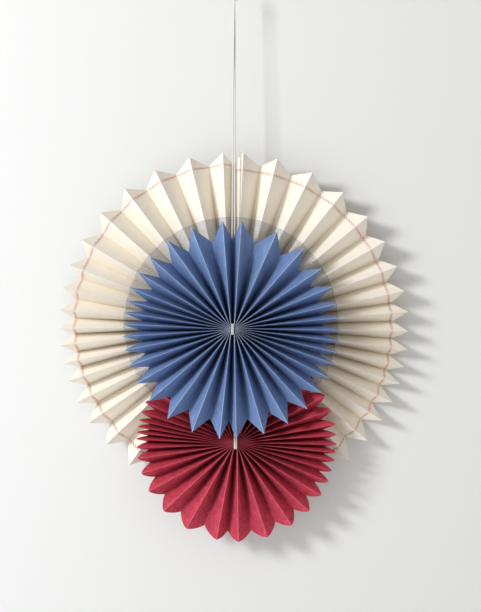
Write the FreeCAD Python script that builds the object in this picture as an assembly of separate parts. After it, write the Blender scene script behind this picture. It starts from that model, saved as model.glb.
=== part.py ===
"""Hanging paper fan rosette: three tied accordion rosettes, one over the other, on a doubled string.

Millimetres. X to the right, Y away from the viewer towards the wall, Z up.
The origin is the point where a nail carries the loop at the top of the string.
A bearing is an angle from straight up, clockwise as seen from the front.
"""
import FreeCAD, Part
import math
import os
from dataclasses import dataclass

Vector = FreeCAD.Vector


@dataclass
class HalfFan:
    """How the front folds of one half of a rosette spread from its top seam to its bottom seam."""
    first: float       # bearing of the fold beside the top seam, from straight up
    last: float        # bearing of the fold beside the bottom seam, from straight up
    crowding: float    # share by which the folds bunch up towards the side
    droop: float       # degrees by which the folds at the side sit lower
    shoulder: float    # degrees by which the folds between side and seam sit lower
    tightening: float  # further bunching, felt mostly near the seams
    tip_radius: float    # hub to the point that the slanted cut leaves on a front fold
    notch_radius: float  # hub to the notch that it leaves on a back fold
    tip_lift: float      # how much longer the points are at the top than at the side
    notch_lift: float    # the same for the notches


@dataclass
class Rosette:
    """One pleated strip, tied round its middle and opened to a full disc."""
    name: str
    centre: Vector        # middle of the hub
    lean: float           # degrees by which the top tips towards the viewer
    folds_per_half: int   # front folds in each half
    pleat_width: float    # paper between a front fold and a back fold
    edge_bulge: float     # how far the cut edge of a pleat bows out from straight
    hub_half_width: float
    hub_half_height: float
    thread: float         # diameter of the thread that ties the hub
    turns: int            # turns of that thread, side by side
    right: HalfFan
    left: HalfFan


# Paper
PAPER_THICKNESS = 0.25
LEAST_PLEAT_DEPTH = 0.3       # share of the pleat's width that stays as depth when it opens wide
COLLAR_REACH = 3.0            # hub sizes out to where the pressed pleats have opened
MIDWAY_SHARE = 0.55           # of the run from there to the rim, where each fold has its last stop
SEAM_WINDOW = 36.0            # degrees left free at the hub across each seam, for the tie

CREAM_PLEAT = 24.0            # paper between a front fold and a back fold
RED_PLEAT = 16.0
BLUE_PLEAT = 18.5

# Where the three rosettes hang, one in front of the other
STRING_FOOT_X = -1.8          # the string runs a little to the left on its way down
RED_X = 1.0
RED_Y = -4.6
BLUE_DROP = 341.0             # nail to the blue hub
CREAM_RISE = 2.0              # cream hub above the blue one
HUB_SPACING = 113.0           # blue hub to the red one
CREAM_NEST = 2.6              # how far its lean lets the cream rosette come in behind the red one
BLUE_NEST = 1.45              # how far its lean lets the blue one come back over the red one
CREAM_CENTRE = Vector(STRING_FOOT_X, RED_Y + (RED_PLEAT + CREAM_PLEAT) / 2.0 - CREAM_NEST,
                      CREAM_RISE - BLUE_DROP)
BLUE_CENTRE = Vector(STRING_FOOT_X, RED_Y - (RED_PLEAT + BLUE_PLEAT) / 2.0 + BLUE_NEST, -BLUE_DROP)
RED_CENTRE = Vector(RED_X, RED_Y, -BLUE_DROP - HUB_SPACING)

# String, thread and nail
STRING_DIAMETER = 1.6
THREAD_DIAMETER = 1.1
NAIL_DIAMETER = 3.0
SEAT_GAP = 0.1                # between thread and the paper that it is wound on
STRAND_SPREAD = 3.2           # between the two strands, side by side behind the blue hub
STRAND_STACK = 2.4            # between them at the knot, one behind the other
KNOT_CENTRE_Z = -10.0
KNOT_HALF_WIDTH = 3.2
KNOT_END_RADIUS = 2.4         # of its two ends, where the string goes in
KNOT_HALF_HEIGHT = 3.8
KNOT_REACH = 2.0              # how far the string is followed into the knot

CREAM = Rosette(
    name="cream",
    centre=CREAM_CENTRE,
    lean=2.0, folds_per_half=20, pleat_width=CREAM_PLEAT, edge_bulge=0.0,
    hub_half_width=8.5, hub_half_height=5.4, thread=THREAD_DIAMETER, turns=1,
    right=HalfFan(first=3.5, last=172.0, crowding=0.34, droop=6.8, shoulder=-9.1, tightening=-0.19,
                  tip_radius=176.3, notch_radius=162.5, tip_lift=-2.0, notch_lift=1.5),
    left=HalfFan(first=3.5, last=175.5, crowding=0.35, droop=3.6, shoulder=-3.8, tightening=-0.31,
                 tip_radius=174.8, notch_radius=161.5, tip_lift=1.0, notch_lift=3.0))

RED = Rosette(
    name="red",
    centre=RED_CENTRE,
    lean=0.0, folds_per_half=18, pleat_width=RED_PLEAT, edge_bulge=2.0,
    hub_half_width=6.2, hub_half_height=4.4, thread=STRING_DIAMETER, turns=2,
    right=HalfFan(first=6.0, last=178.5, crowding=0.53, droop=0.6, shoulder=-5.5, tightening=-0.19,
                  tip_radius=100.5, notch_radius=88.5, tip_lift=1.5, notch_lift=-1.0),
    left=HalfFan(first=5.0, last=168.5, crowding=0.66, droop=-4.6, shoulder=-7.3, tightening=-0.34,
                 tip_radius=98.5, notch_radius=87.5, tip_lift=0.5, notch_lift=-1.0))

BLUE = Rosette(
    name="blue",
    centre=BLUE_CENTRE,
    lean=-2.2, folds_per_half=17, pleat_width=BLUE_PLEAT, edge_bulge=0.0,
    hub_half_width=6.2, hub_half_height=4.4, thread=THREAD_DIAMETER, turns=2,
    right=HalfFan(first=5.0, last=178.0, crowding=0.46, droop=4.9, shoulder=6.6, tightening=-0.14,
                  tip_radius=106.5, notch_radius=88.5, tip_lift=-0.5, notch_lift=-1.0),
    left=HalfFan(first=5.0, last=173.5, crowding=0.42, droop=-1.8, shoulder=7.4, tightening=-0.14,
                 tip_radius=108.3, notch_radius=89.5, tip_lift=0.0, notch_lift=-1.0))

FULL_TURN = 360.0
HALF_TURN = 180.0


@dataclass
class Fold:
    """One fold line of a rosette, with its place in the front view at each section."""
    is_ridge: bool
    places: list       # Vector at hub, collar, midway and rim, with Y still at the middle of the paper
    direction: Vector  # outward, in the front view


@dataclass
class PaperFold:
    """The four surface points of the paper at one fold and one section, two of them equal."""
    front_before: Vector
    front_after: Vector
    back_before: Vector
    back_after: Vector


def fold_bearing(half, index, count):
    """Bearing of one front fold; the folds crowd at the side and open wide at the seams."""
    share = 2.0 * index / (count - 1) - 1.0
    reach = (half.last - half.first) / 2.0
    even = (half.first + half.last) / 2.0 + reach * share
    edge_free = 1.0 - share ** 2
    bunching = (half.crowding + half.tightening * share ** 2) * (share ** 3 - share) * reach
    return even + bunching + (half.droop + half.shoulder * share ** 2) * edge_free


def hub_bearing(index, count):
    """Bearing at the hub, where the pressed folds lie evenly round."""
    return SEAM_WINDOW / 2.0 + (HALF_TURN - SEAM_WINDOW) * index / (count - 1)


def ridge_bearings(rosette):
    """Hub and rim bearings of the front folds, clockwise from the top seam."""
    count = rosette.folds_per_half
    right = [(hub_bearing(i, count), fold_bearing(rosette.right, i, count)) for i in range(count)]
    left = [(hub_bearing(i, count), fold_bearing(rosette.left, i, count)) for i in range(count)]
    return right + [(FULL_TURN - hub, FULL_TURN - rim) for hub, rim in reversed(left)]


def bearing_point(bearing, reach_x, reach_z):
    """Point of an ellipse about the hub, in the front view."""
    angle = math.radians(bearing)
    return Vector(reach_x * math.sin(angle), 0.0, reach_z * math.cos(angle))


def rim_radius(rosette, bearing, is_ridge):
    """Radius of the cut edge at a fold, eased from one half's value to the other's at the seams."""
    side = math.sin(math.radians(bearing))
    right_share = 0.5 + 0.5 * max(-1.0, min(1.0, side / math.sin(math.radians(SEAM_WINDOW / 2.0))))
    height = math.cos(math.radians(bearing))
    radii = []
    for half in (rosette.right, rosette.left):
        base = half.tip_radius if is_ridge else half.notch_radius
        lift = half.tip_lift if is_ridge else half.notch_lift
        radii.append(base + lift * height)
    return radii[0] * right_share + radii[1] * (1.0 - right_share)


def make_fold(rosette, hub_angle, rim_angle, is_ridge):
    """A straight fold line from the hub to the rim, with a stop at the collar and one midway."""
    start = bearing_point(hub_angle, rosette.hub_half_width, rosette.hub_half_height)
    radius = rim_radius(rosette, rim_angle, is_ridge)
    end = bearing_point(rim_angle, radius, radius)
    run = end - start
    collar_share = (COLLAR_REACH - 1.0) * rosette.hub_half_width / run.Length
    collar = start + run * collar_share
    midway = collar + (end - collar) * MIDWAY_SHARE
    return Fold(is_ridge, [start, collar, midway, end], run.normalize())


def rosette_folds(rosette):
    """All fold lines clockwise from the first front fold of the right half."""
    ridges = ridge_bearings(rosette)
    folds = []
    for index, (hub, rim) in enumerate(ridges):
        next_hub, next_rim = ridges[(index + 1) % len(ridges)]
        if index + 1 == len(ridges):
            next_hub += FULL_TURN
            next_rim += FULL_TURN
        folds.append(make_fold(rosette, hub, rim, True))
        folds.append(make_fold(rosette, (hub + next_hub) / 2.0, (rim + next_rim) / 2.0, False))
    return folds


def deepen(folds, pleat_width):
    """Give each fold its depth: the wider the pleats open, the flatter they get."""
    count = len(folds)
    depths = []
    for index, fold in enumerate(folds):
        neighbours = (folds[index - 1], folds[(index + 1) % count])
        row = []
        for section, place in enumerate(fold.places):
            chords = [fold.direction.cross(other.places[section] - place).Length for other in neighbours]
            opened = min(pleat_width, sum(chords) / len(chords))
            depth = math.sqrt(pleat_width ** 2 - opened ** 2)
            row.append(max(depth, LEAST_PLEAT_DEPTH * pleat_width) / 2.0)
        depths.append(row)
    for fold, row in zip(folds, depths):
        sign = -1.0 if fold.is_ridge else 1.0
        fold.places = [Vector(p.x, sign * d, p.z) for p, d in zip(fold.places, row)]


def wall_normal(before, after, section):
    """Unit normal of the pleat between two folds, towards the viewer."""
    across = after.places[section] - before.places[section]
    outward = (before.direction + after.direction).normalize()
    return across.cross(outward).normalize()


def paper_at_fold(fold, section, normal_before, normal_after, pleat_width):
    """Offset the fold to both faces of the paper: a flat crest outside, a mitre inside."""
    place = fold.places[section]
    half = PAPER_THICKNESS / 2.0
    mitre = (normal_before + normal_after) * (half / (1.0 + normal_before.dot(normal_after)))
    if fold.is_ridge:
        crest = (place + normal_before * half, place + normal_after * half)
    else:
        crest = (place - normal_before * half, place - normal_after * half)
    if section == 0:
        face_y = -pleat_width / 2.0 if fold.is_ridge else pleat_width / 2.0
        crest = tuple(Vector(p.x, face_y, p.z) for p in crest)
    if fold.is_ridge:
        inner = place - mitre
        return PaperFold(crest[0], crest[1], inner, inner)
    inner = place + mitre
    return PaperFold(inner, inner, crest[0], crest[1])


def edge_between(start, end, bulge_vector=None):
    """Straight edge, or an arc that bows out by the given vector at its middle."""
    if bulge_vector is None:
        return Part.makeLine(start, end)
    return Part.Arc(start, (start + end) * 0.5 + bulge_vector, end).toShape()


def ruled(first_edge, second_edge):
    """Face swept by a straight line between two edges that run the same way."""
    return Part.makeRuledSurface(first_edge, second_edge, 1)


def triangle(a, b, c):
    return Part.Face(Part.makePolygon([a, b, c, a]))


def flat_face(points):
    return Part.Face(Part.makePolygon(points + [points[0]]))


def rosette_surface_points(rosette, folds):
    """PaperFold of every fold at every section."""
    count = len(folds)
    grid = []
    for index, fold in enumerate(folds):
        row = []
        for section in range(len(fold.places)):
            before = wall_normal(folds[index - 1], fold, section)
            after = wall_normal(fold, folds[(index + 1) % count], section)
            row.append(paper_at_fold(fold, section, before, after, rosette.pleat_width))
        grid.append(row)
    return grid


def pleat_faces(rosette, folds, grid):
    """Both faces of every pleat, its cut edge at the rim and the flats along the folds."""
    faces = []
    count = len(folds)
    rim = len(folds[0].places) - 1
    for index, fold in enumerate(folds):
        here = grid[index]
        there = grid[(index + 1) % count]
        outward = (fold.direction + folds[(index + 1) % count].direction).normalize()
        bulge = outward * rosette.edge_bulge if rosette.edge_bulge else None
        for section in range(rim):
            at_rim = bulge if section + 1 == rim else None
            near, far = here[section], here[section + 1]
            near_next, far_next = there[section], there[section + 1]
            faces.append(ruled(edge_between(near.front_after, near_next.front_before),
                               edge_between(far.front_after, far_next.front_before, at_rim)))
            faces.append(ruled(edge_between(near.back_after, near_next.back_before),
                               edge_between(far.back_after, far_next.back_before, at_rim)))
            if fold.is_ridge:
                crest = (near.front_before, near.front_after, far.front_before, far.front_after)
            else:
                crest = (near.back_before, near.back_after, far.back_before, far.back_after)
            faces.append(ruled(edge_between(crest[0], crest[1]), edge_between(crest[2], crest[3])))
        edge, edge_next = here[rim], there[rim]
        faces.append(ruled(edge_between(edge.front_after, edge_next.front_before, bulge),
                           edge_between(edge.back_after, edge_next.back_before, bulge)))
        if fold.is_ridge:
            faces.append(triangle(edge.front_before, edge.front_after, edge.back_after))
        else:
            faces.append(triangle(edge.back_before, edge.back_after, edge.front_after))
    return faces


def hub_faces(folds, grid):
    """The pressed stack in the middle: a flat front, a flat back and a wall at each gap."""
    faces = []
    front, back = [], []
    count = len(folds)
    for index, fold in enumerate(folds):
        here = grid[index][0]
        before, after = grid[index - 1][0], grid[(index + 1) % count][0]
        if fold.is_ridge:
            front += [here.front_before, here.front_after]
            faces.append(triangle(before.back_after, here.back_before, after.back_before))
        else:
            back += [here.back_before, here.back_after]
            faces.append(triangle(before.front_after, here.front_before, after.front_before))
    return faces + [flat_face(front), flat_face(back)]


def closed_solid(faces):
    """Sew faces that share their edges into one solid that is not inside out."""
    shell = Part.makeShell(faces)
    shell.sewShape()
    solid = Part.Solid(shell)
    if solid.Volume < 0:
        solid.reverse()
    return solid


def turn_offsets(rosette):
    """Where the turns of the tie lie across the middle, side by side."""
    pitch = rosette.thread + SEAT_GAP
    return [(turn - (rosette.turns - 1) / 2.0) * pitch for turn in range(rosette.turns)]


def tie_hole(rosette, upwards):
    """Slot through the paper beside the hub, at the seam, where the tie goes round the stack."""
    half_width = turn_offsets(rosette)[-1] + rosette.thread / 2.0 + SEAT_GAP
    height = rosette.thread + 2.0 * SEAT_GAP
    depth = rosette.pleat_width + 2.0 * PAPER_THICKNESS
    corner_z = hub_flat_height(rosette) if upwards else -hub_flat_height(rosette) - height
    corner = Vector(-half_width, -depth / 2.0, corner_z)
    return Part.makeBox(2.0 * half_width, depth, height, corner)


def hub_flat_height(rosette):
    """Half height of the stack at the seams, where its wall runs between the two end folds."""
    return rosette.hub_half_height * math.cos(math.radians(SEAM_WINDOW / 2.0)) + PAPER_THICKNESS / 2.0


def place_in_set(shape, rosette):
    """Tip the finished piece about its hub and hang it at its height."""
    placed = shape.copy()
    placed.rotate(Vector(0, 0, 0), Vector(1, 0, 0), rosette.lean)
    placed.translate(rosette.centre)
    return placed


def make_paper(rosette):
    """The whole pleated disc, one strip of paper and one solid."""
    folds = rosette_folds(rosette)
    deepen(folds, rosette.pleat_width)
    grid = rosette_surface_points(rosette, folds)
    disc = closed_solid(pleat_faces(rosette, folds, grid) + hub_faces(folds, grid))
    disc = disc.cut(tie_hole(rosette, True)).cut(tie_hole(rosette, False))
    return place_in_set(disc, rosette)


def thread_ring(offset_x, front_y, back_y, half_height, diameter):
    """One closed turn of thread in an upright plane, bent close round the corners of the stack."""
    corner = diameter / 2.0 + SEAT_GAP
    y0, y1, z = front_y, back_y, half_height
    diagonal = corner * (1.0 - math.sqrt(0.5))

    def point(y, height):
        return Vector(offset_x, y, height)

    edges = [
        Part.makeLine(point(y0, 0), point(y0, z - corner)),
        Part.Arc(point(y0, z - corner), point(y0 + diagonal, z - diagonal), point(y0 + corner, z)).toShape(),
        Part.makeLine(point(y0 + corner, z), point(y1 - corner, z)),
        Part.Arc(point(y1 - corner, z), point(y1 - diagonal, z - diagonal), point(y1, z - corner)).toShape(),
        Part.makeLine(point(y1, z - corner), point(y1, corner - z)),
        Part.Arc(point(y1, corner - z), point(y1 - diagonal, diagonal - z), point(y1 - corner, -z)).toShape(),
        Part.makeLine(point(y1 - corner, -z), point(y0 + corner, -z)),
        Part.Arc(point(y0 + corner, -z), point(y0 + diagonal, diagonal - z), point(y0, corner - z)).toShape(),
        Part.makeLine(point(y0, corner - z), point(y0, 0)),
    ]
    profile = Part.Wire(Part.makeCircle(diameter / 2.0, point(y0, 0), Vector(0, 0, 1)))
    return Part.Wire(edges).makePipeShell([profile], True, False)


def tie_clearance(rosette):
    """From the hub's surface to the middle of the thread round it."""
    return rosette.thread / 2.0 + SEAT_GAP


def make_tie(rosette, front_y):
    """Turns of thread round the stack, close on its back and its two seams, out to front_y."""
    clear = tie_clearance(rosette)
    back_y = rosette.pleat_width / 2.0 + clear
    half_height = hub_flat_height(rosette) + clear
    rings = [thread_ring(offset, front_y, back_y, half_height, rosette.thread)
             for offset in turn_offsets(rosette)]
    return place_in_set(Part.makeCompound(rings), rosette)


def snug_front(rosette):
    """Where the thread lies on the front of the hub."""
    return -rosette.pleat_width / 2.0 - tie_clearance(rosette)


def string_plane_at_blue():
    """Y of the string where it passes just behind the tie of the blue hub."""
    back = BLUE.pleat_width / 2.0 + tie_clearance(BLUE) + BLUE.thread / 2.0
    tipped = hub_flat_height(BLUE) * abs(math.sin(math.radians(BLUE.lean)))
    return BLUE.centre.y + back + tipped + SEAT_GAP + STRING_DIAMETER / 2.0


def string_at_cream():
    """Y of the string at the height of the cream hub, where it catches the cream hub's tie."""
    head_z = KNOT_CENTRE_Z - KNOT_REACH
    return string_plane_at_blue() * (CREAM.centre.z - head_z) / (BLUE.centre.z - head_z)


def strand_points(side):
    """Foot on the tie of the red hub, pass behind the blue hub, head in the knot."""
    turn = turn_offsets(RED)[0 if side < 0 else -1]
    foot_z = hub_flat_height(RED) + tie_clearance(RED) + RED.thread / 2.0 + SEAT_GAP
    foot = RED.centre + Vector(turn, snug_front(RED), foot_z)
    behind_blue = Vector(BLUE.centre.x + side * STRAND_SPREAD / 2.0, string_plane_at_blue(), BLUE.centre.z)
    head = Vector(0.0, side * STRAND_STACK / 2.0, KNOT_CENTRE_Z - KNOT_REACH)
    return [foot, behind_blue, head]


def rounded_run(points, setback, label):
    """Straight runs joined by one tangent arc at each inner point, begun at the given setback."""
    edges = []
    start = points[0]
    for before, corner, after in zip(points, points[1:], points[2:]):
        incoming = (corner - before).normalize()
        outgoing = (after - corner).normalize()
        turn = incoming.getAngle(outgoing)
        radius = setback / math.tan(turn / 2.0)
        print(label, "bend radius", round(radius, 1))
        arc_start, arc_end = corner - incoming * setback, corner + outgoing * setback
        inward = (outgoing - incoming).normalize()
        apex = corner + inward * (radius / math.cos(turn / 2.0) - radius)
        edges += [Part.makeLine(start, arc_start), Part.Arc(arc_start, apex, arc_end).toShape()]
        start = arc_end
    edges.append(Part.makeLine(start, points[-1]))
    return Part.Wire(edges)


def tube(path, start, direction, diameter, label):
    """Round cord along a path; its volume is printed beside its section times its length."""
    profile = Part.Wire(Part.makeCircle(diameter / 2.0, start, direction))
    solid = path.makePipeShell([profile], True, False)
    expected = math.pi * diameter ** 2 / 4.0 * path.Length
    print(label, "length", round(path.Length, 1), "volume", round(solid.Volume, 2), "of", round(expected, 2))
    return solid


def make_strand(side, label):
    """One taut strand, from the red hub's tie up into the knot, bent where the blue hub presses on it."""
    points = strand_points(side)
    path = rounded_run(points, BLUE.hub_half_height, label)
    return tube(path, points[0], points[1] - points[0], STRING_DIAMETER, label)


def make_loop():
    """The string goes up from the knot, over the nail and back down."""
    nail_radius = NAIL_DIAMETER / 2.0
    centre = Vector(0.0, 0.0, -nail_radius)
    bend = nail_radius + STRING_DIAMETER / 2.0
    foot = Vector((STRING_DIAMETER + SEAT_GAP) / 2.0, 0.0, KNOT_CENTRE_Z + KNOT_REACH)
    span = centre - foot
    leg = math.sqrt(span.Length ** 2 - bend ** 2)
    swing = math.atan2(span.z, span.x) - math.asin(bend / span.Length)
    touch = foot + Vector(math.cos(swing), 0.0, math.sin(swing)) * leg
    crown = centre + Vector(0.0, 0.0, bend)
    mirror_foot, mirror_touch = Vector(-foot.x, 0.0, foot.z), Vector(-touch.x, 0.0, touch.z)
    path = Part.Wire([Part.makeLine(foot, touch), Part.Arc(touch, crown, mirror_touch).toShape(),
                      Part.makeLine(mirror_touch, mirror_foot)])
    return tube(path, foot, touch - foot, STRING_DIAMETER, "hanging_loop")


def make_knot(strings):
    """Both strands drawn up in one knot, a round barrel with the string let into its ends."""
    foot, head = Vector(KNOT_END_RADIUS, 0, -KNOT_HALF_HEIGHT), Vector(KNOT_END_RADIUS, 0, KNOT_HALF_HEIGHT)
    bottom, top = Vector(0, 0, -KNOT_HALF_HEIGHT), Vector(0, 0, KNOT_HALF_HEIGHT)
    outline = Part.Wire([Part.makeLine(bottom, foot),
                         Part.Arc(foot, Vector(KNOT_HALF_WIDTH, 0, 0), head).toShape(),
                         Part.makeLine(head, top), Part.makeLine(top, bottom)])
    barrel = Part.Face(outline).revolve(Vector(0, 0, 0), Vector(0, 0, 1), FULL_TURN)
    barrel.translate(Vector(0.0, 0.0, KNOT_CENTRE_Z))
    if barrel.Volume < 0:
        barrel.reverse()
    return barrel.cut(strings)


def export(name, shape):
    print(name, "volume", round(shape.Volume, 1), "solids", len(shape.Solids), "valid", shape.isValid())
    shape.exportStep(os.path.join("parts", name + ".step"))


def main():
    os.makedirs("parts", exist_ok=True)
    for rosette in (CREAM, RED, BLUE):
        export(rosette.name + "_rosette", make_paper(rosette))
    export("red_tie", make_tie(RED, snug_front(RED)))
    export("blue_tie", make_tie(BLUE, snug_front(BLUE)))
    export("cream_tie", make_tie(CREAM, string_at_cream() - CREAM.centre.y))
    left = make_strand(-1, "string_left")
    right = make_strand(1, "string_right")
    loop = make_loop()
    export("string_left", left)
    export("string_right", right)
    export("hanging_loop", loop)
    export("top_knot", make_knot([left, right, loop]))


main()
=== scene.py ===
"""Looks of the hanging paper fan rosettes: folded paper, printed mesh, machine stitch, thread and string."""

import math

import bpy
from bpy.props import FloatProperty, FloatVectorProperty, IntProperty, PointerProperty
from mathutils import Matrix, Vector


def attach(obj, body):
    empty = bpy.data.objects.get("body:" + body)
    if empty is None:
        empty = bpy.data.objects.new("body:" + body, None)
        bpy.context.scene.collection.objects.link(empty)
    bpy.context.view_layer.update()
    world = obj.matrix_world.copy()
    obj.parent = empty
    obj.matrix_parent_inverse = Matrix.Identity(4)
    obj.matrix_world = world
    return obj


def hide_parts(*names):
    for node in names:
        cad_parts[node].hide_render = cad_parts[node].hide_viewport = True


bl_info = {
    "name": "Paper Fan Rosettes",
    "version": (1, 0, 0),
    "blender": (4, 5, 0),
    "location": "3D View > Sidebar > Rosettes",
    "description": "Pleated paper rosettes hung one over the other on a doubled string",
    "category": "Add Mesh",
}

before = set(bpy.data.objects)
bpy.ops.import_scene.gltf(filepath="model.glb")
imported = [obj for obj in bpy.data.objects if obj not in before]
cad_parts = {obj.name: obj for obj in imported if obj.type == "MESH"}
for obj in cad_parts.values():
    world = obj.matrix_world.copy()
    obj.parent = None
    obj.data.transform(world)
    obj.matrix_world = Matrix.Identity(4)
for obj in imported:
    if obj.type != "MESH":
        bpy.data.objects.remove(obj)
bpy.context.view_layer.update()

MM = 0.001
HALF_TURN = 180.0
SIDES = ("Right", "Left")


def metres(*numbers):
    """A point or a list of sizes given in millimetres."""
    return Vector(numbers) * MM


def screen_colour(red, green, blue):
    """A colour as it looks on screen, 0 to 255, turned into the light that Blender works with."""
    shares = (channel / 255.0 for channel in (red, green, blue))
    return tuple(c / 12.92 if c <= 0.04045 else ((c + 0.055) / 1.055) ** 2.4 for c in shares)


# Where the rosettes hang, as in the solids
STRING_FOOT_X, RED_X, RED_Y = -1.8, 1.0, -4.6
CREAM_PLEAT, RED_PLEAT, BLUE_PLEAT = 24.0, 16.0, 18.5
BLUE_DROP, CREAM_RISE, HUB_SPACING = 341.0, 2.0, 113.0
CREAM_NEST, BLUE_NEST = 2.6, 1.45
CENTRES = {
    "cream": metres(STRING_FOOT_X, RED_Y + (RED_PLEAT + CREAM_PLEAT) / 2.0 - CREAM_NEST,
                    CREAM_RISE - BLUE_DROP),
    "red": metres(RED_X, RED_Y, -BLUE_DROP - HUB_SPACING),
    "blue": metres(STRING_FOOT_X, RED_Y - (RED_PLEAT + BLUE_PLEAT) / 2.0 + BLUE_NEST, -BLUE_DROP),
}
SEAM_WINDOW = 36.0  # degrees round the hub that are free of folds at each seam
LEAST_PLEAT_DEPTH = 0.3  # of the pleat width
PAPER_THICKNESS = 0.25 * MM
STRING_DIAMETER = 1.6 * MM
THREAD_DIAMETER = 1.1 * MM
SEAT_GAP = 0.1 * MM

# How the mesh of the paper departs from the solids
FOLD_INSET = 0.2 * MM  # its soft folds lie just inside the sharp ones
STACK_SHARE = 0.94  # height of the pressed stack in the middle of the hub, of that at its edge
WAIST = 0.97  # depth of the pleats in the middle of the hub, of that at its edge
HUB_BEND = 0.55  # how soon the pleats turn outwards in the hub
SWAY = 500.0  # degrees that a fold strays for each metre of unevenness
HUB_STEPS = 5  # mesh steps from the middle of the hub to its edge
WELD_DISTANCE = 0.01 * MM
LEAST_DISTANCE = 1.0 * MM  # from the hub's middle, so that nothing is divided by zero
WHOLE = 0.0001  # keeps a whole number of pleats from being rounded down
NEAR_RIM = 0.995  # a stitch goes no further out, of the run from hub to rim
SOFT_ANGLE = 25.0  # degrees up to which the paper is shaded smooth

FAN_FIELDS = ("first", "last", "crowding", "droop", "shoulder", "tightening",
              "tip_radius", "notch_radius", "tip_lift", "notch_lift")
FAN_LENGTHS = ("tip_radius", "notch_radius", "tip_lift", "notch_lift")

# In millimetres and degrees; the two halves give their numbers in the order above
ROSETTE_SIZES = {
    "cream": {
        "folds_per_half": 20, "pleat_width": CREAM_PLEAT, "edge_bulge": 0.0, "lean": 2.0,
        "hub_half_width": 8.5, "hub_half_height": 5.4,
        "right": (3.5, 172.0, 0.34, 6.8, -9.1, -0.19, 176.3, 162.5, -2.0, 1.5),
        "left": (3.5, 175.5, 0.35, 3.6, -3.8, -0.31, 174.8, 161.5, 1.0, 3.0),
        "paper_colour": screen_colour(254, 248, 238), "crease_colour": screen_colour(255, 251, 242),
    },
    "red": {
        "folds_per_half": 18, "pleat_width": RED_PLEAT, "edge_bulge": 2.0, "lean": 0.0,
        "hub_half_width": 6.2, "hub_half_height": 4.4,
        "right": (6.0, 178.5, 0.53, 0.6, -5.5, -0.19, 100.5, 88.5, 1.5, -1.0),
        "left": (5.0, 168.5, 0.66, -4.6, -7.3, -0.34, 98.5, 87.5, 0.5, -1.0),
        "paper_colour": screen_colour(214, 74, 97), "crease_colour": screen_colour(240, 128, 148),
    },
    "blue": {
        "folds_per_half": 17, "pleat_width": BLUE_PLEAT, "edge_bulge": 0.0, "lean": -2.2,
        "hub_half_width": 6.2, "hub_half_height": 4.4,
        "right": (5.0, 178.0, 0.46, 4.9, 6.6, -0.14, 106.5, 88.5, -0.5, -1.0),
        "left": (5.0, 173.5, 0.42, -1.8, 7.4, -0.14, 108.3, 89.5, 0.0, -1.0),
        "paper_colour": screen_colour(120, 147, 197), "crease_colour": screen_colour(210, 225, 253),
    },
}


def length_property(name, description, default):
    """A size, which Blender shows in its unit of length."""
    return FloatProperty(name=name, description=description, default=default, unit="LENGTH")


def colour_property(name, description, default):
    """A colour of paper, thread or print."""
    return FloatVectorProperty(name=name, description=description, default=default,
                               subtype="COLOR", min=0.0, max=1.0)


class HalfFanSizes(bpy.types.PropertyGroup):
    """How the front folds of one half of a rosette spread and how far they reach."""
    first: FloatProperty(name="First Fold", description="Bearing of the fold beside the top seam",
                         default=5.0)
    last: FloatProperty(name="Last Fold", description="Bearing of the fold beside the bottom seam",
                        default=175.0)
    crowding: FloatProperty(name="Crowding", description="How much the folds bunch at the side", default=0.4)
    droop: FloatProperty(name="Droop", description="Degrees by which the side folds sit lower", default=0.0)
    shoulder: FloatProperty(name="Shoulder", description="Degrees by which the folds between sit lower",
                            default=0.0)
    tightening: FloatProperty(name="Tightening", description="Bunching felt near the seams", default=-0.2)
    tip_radius: length_property("Tip Radius", "Hub to the points", 0.1)
    notch_radius: length_property("Notch Radius", "Hub to the notches", 0.09)
    tip_lift: length_property("Tip Lift", "Longer points at the top", 0.0)
    notch_lift: length_property("Notch Lift", "Longer notches at the top", 0.0)


class RosetteSizes(bpy.types.PropertyGroup):
    """Sizes and colour of one rosette."""
    folds_per_half: IntProperty(name="Folds Per Half", description="Front folds in each half", default=18)
    pleat_width: length_property("Pleat Width", "Paper between two folds", 0.018)
    edge_bulge: length_property("Edge Bulge", "How far the cut edge bows out", 0.0)
    lean: FloatProperty(name="Lean", description="Degrees by which the top tips forward", default=0.0)
    hub_half_width: length_property("Hub Half Width", "Half width of the pressed hub", 0.007)
    hub_half_height: length_property("Hub Half Height", "Half height of the pressed hub", 0.005)
    right: PointerProperty(type=HalfFanSizes, name="Right Half")
    left: PointerProperty(type=HalfFanSizes, name="Left Half")
    paper_colour: colour_property("Paper Colour", "Colour of the paper", (0.8, 0.8, 0.8))
    # The crease colour also serves as a painted highlight along the front folds.
    crease_colour: colour_property("Crease Colour", "Paper where its folds are worn", (0.9, 0.9, 0.9))


class RosetteSetSettings(bpy.types.PropertyGroup):
    """What a user would change on the whole set."""
    cream: PointerProperty(type=RosetteSizes, name="Cream Rosette")
    red: PointerProperty(type=RosetteSizes, name="Red Rosette")
    blue: PointerProperty(type=RosetteSizes, name="Blue Rosette")
    steps_across: IntProperty(name="Steps Across", description="Mesh steps across one pleat", default=8)
    steps_out: IntProperty(name="Steps Out", description="Mesh steps from hub to rim", default=16)
    unevenness: length_property("Unevenness", "How far each point is off the rule", 0.0007)
    stitch_radius_right: length_property("Stitch Radius Right", "Hub to the stitched line", 0.160)
    stitch_radius_left: length_property("Stitch Radius Left", "Hub to the stitched line", 0.1593)
    stitch_width: length_property("Stitch Width", "Width of the zigzag", 0.0026)
    stitch_length: length_property("Stitch Length", "Paper from one needle hole to the next", 0.0022)
    stitch_colour: colour_property("Stitch Colour", "Colour of the sewing thread",
                                   screen_colour(218, 120, 118))
    string_colour: colour_property("String Colour", "Colour of the cotton", screen_colour(246, 244, 240))
    print_colour: colour_property("Print Colour", "Colour of the printed dots", screen_colour(82, 77, 60))
    print_radius: length_property("Print Radius", "Hub to the edge of the printed dots", 0.1083)
    print_pitch: length_property("Print Pitch", "From one printed row of dots to the next", 0.0016)


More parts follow.
